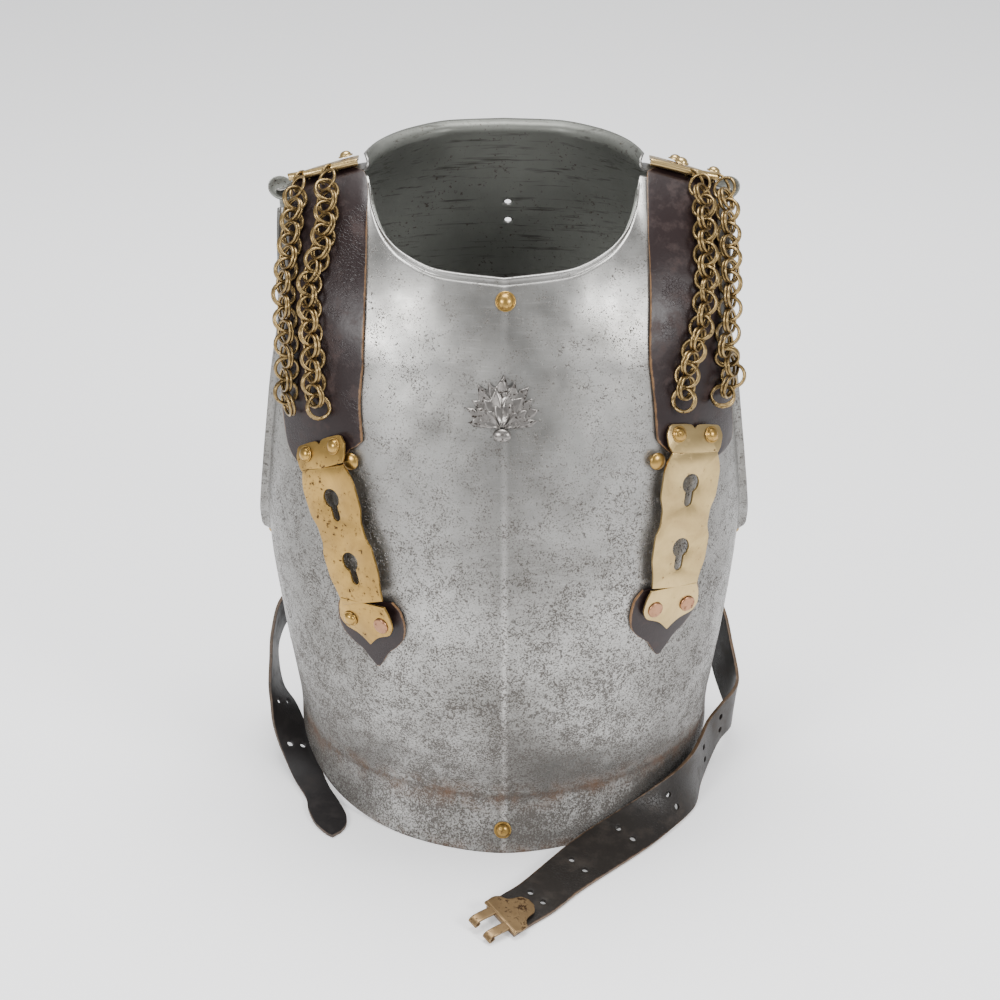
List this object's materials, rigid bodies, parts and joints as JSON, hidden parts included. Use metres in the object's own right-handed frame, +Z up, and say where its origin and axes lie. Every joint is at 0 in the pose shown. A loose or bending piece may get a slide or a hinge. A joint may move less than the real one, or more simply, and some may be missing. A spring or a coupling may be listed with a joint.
{
  "type": "cuirass",
  "caption": "Steel breastplate and backplate of a cavalry cuirass, with leather straps, brass ring chains, keyhole plates and loose waist belts.",
  "frame": {"origin": "centre of the whole object's box, on the ground plane", "axes": "+Z up; -Y the way the breastplate faces; +X to the wearer's left"},
  "size_m": [0.3766, 0.3838, 0.4967],
  "materials": {
    "plate_steel": "worn, densely pitted",
    "badge_metal": "darkened, bright on the crests",
    "brass": "aged satin",
    "chain_brass": "dark patina, bright on the wear",
    "clasp_brass": "brown patina",
    "copper": "worn copper",
    "strap_leather": "worn satin, tan raw edges",
    "belt_leather": "worn satin"
  },
  "bodies": {
    "root": {"breastplate": "plate_steel", "backplate": "plate_steel", "grenade_badge": "badge_metal", "neck_rivet": "brass", "waist_rivet": "brass", "shoulder_leather_right": "strap_leather", "shoulder_plate_right": "brass", "stud_right": "brass", "side_strip_right": "belt_leather", "side_rivet_right_1": "brass", "side_rivet_right_2": "brass", "side_rivet_right_3": "brass", "shoulder_leather_left": "strap_leather", "shoulder_plate_left": "brass", "stud_left": "brass", "side_strip_left": "belt_leather", "side_rivet_left_1": "brass", "side_rivet_left_2": "brass", "side_rivet_left_3": "brass", "shoulder_rivet_right_1": "brass", "shoulder_rivet_left_1": "brass", "shoulder_rivet_left_2": "brass", "shoulder_rivet_left_3": "brass", "chain_right_outer": "chain_brass", "chain_right_inner": "chain_brass", "chain_left_inner": "chain_brass", "chain_left_outer": "chain_brass", "end_plate_right": "brass", "tongue_leather_right": "strap_leather", "rivet_right_upper_1": "brass", "rivet_right_upper_2": "brass", "rivet_right_lower_1": "brass", "rivet_right_lower_2": "copper", "end_plate_left": "brass", "tongue_leather_left": "strap_leather", "rivet_left_upper_1": "brass", "rivet_left_upper_2": "brass", "rivet_left_lower_1": "copper", "rivet_left_lower_2": "copper", "waist_belt_left": "belt_leather", "waist_belt_right": "belt_leather", "belt_clasp": "clasp_brass"}
  },
  "joints": []
}
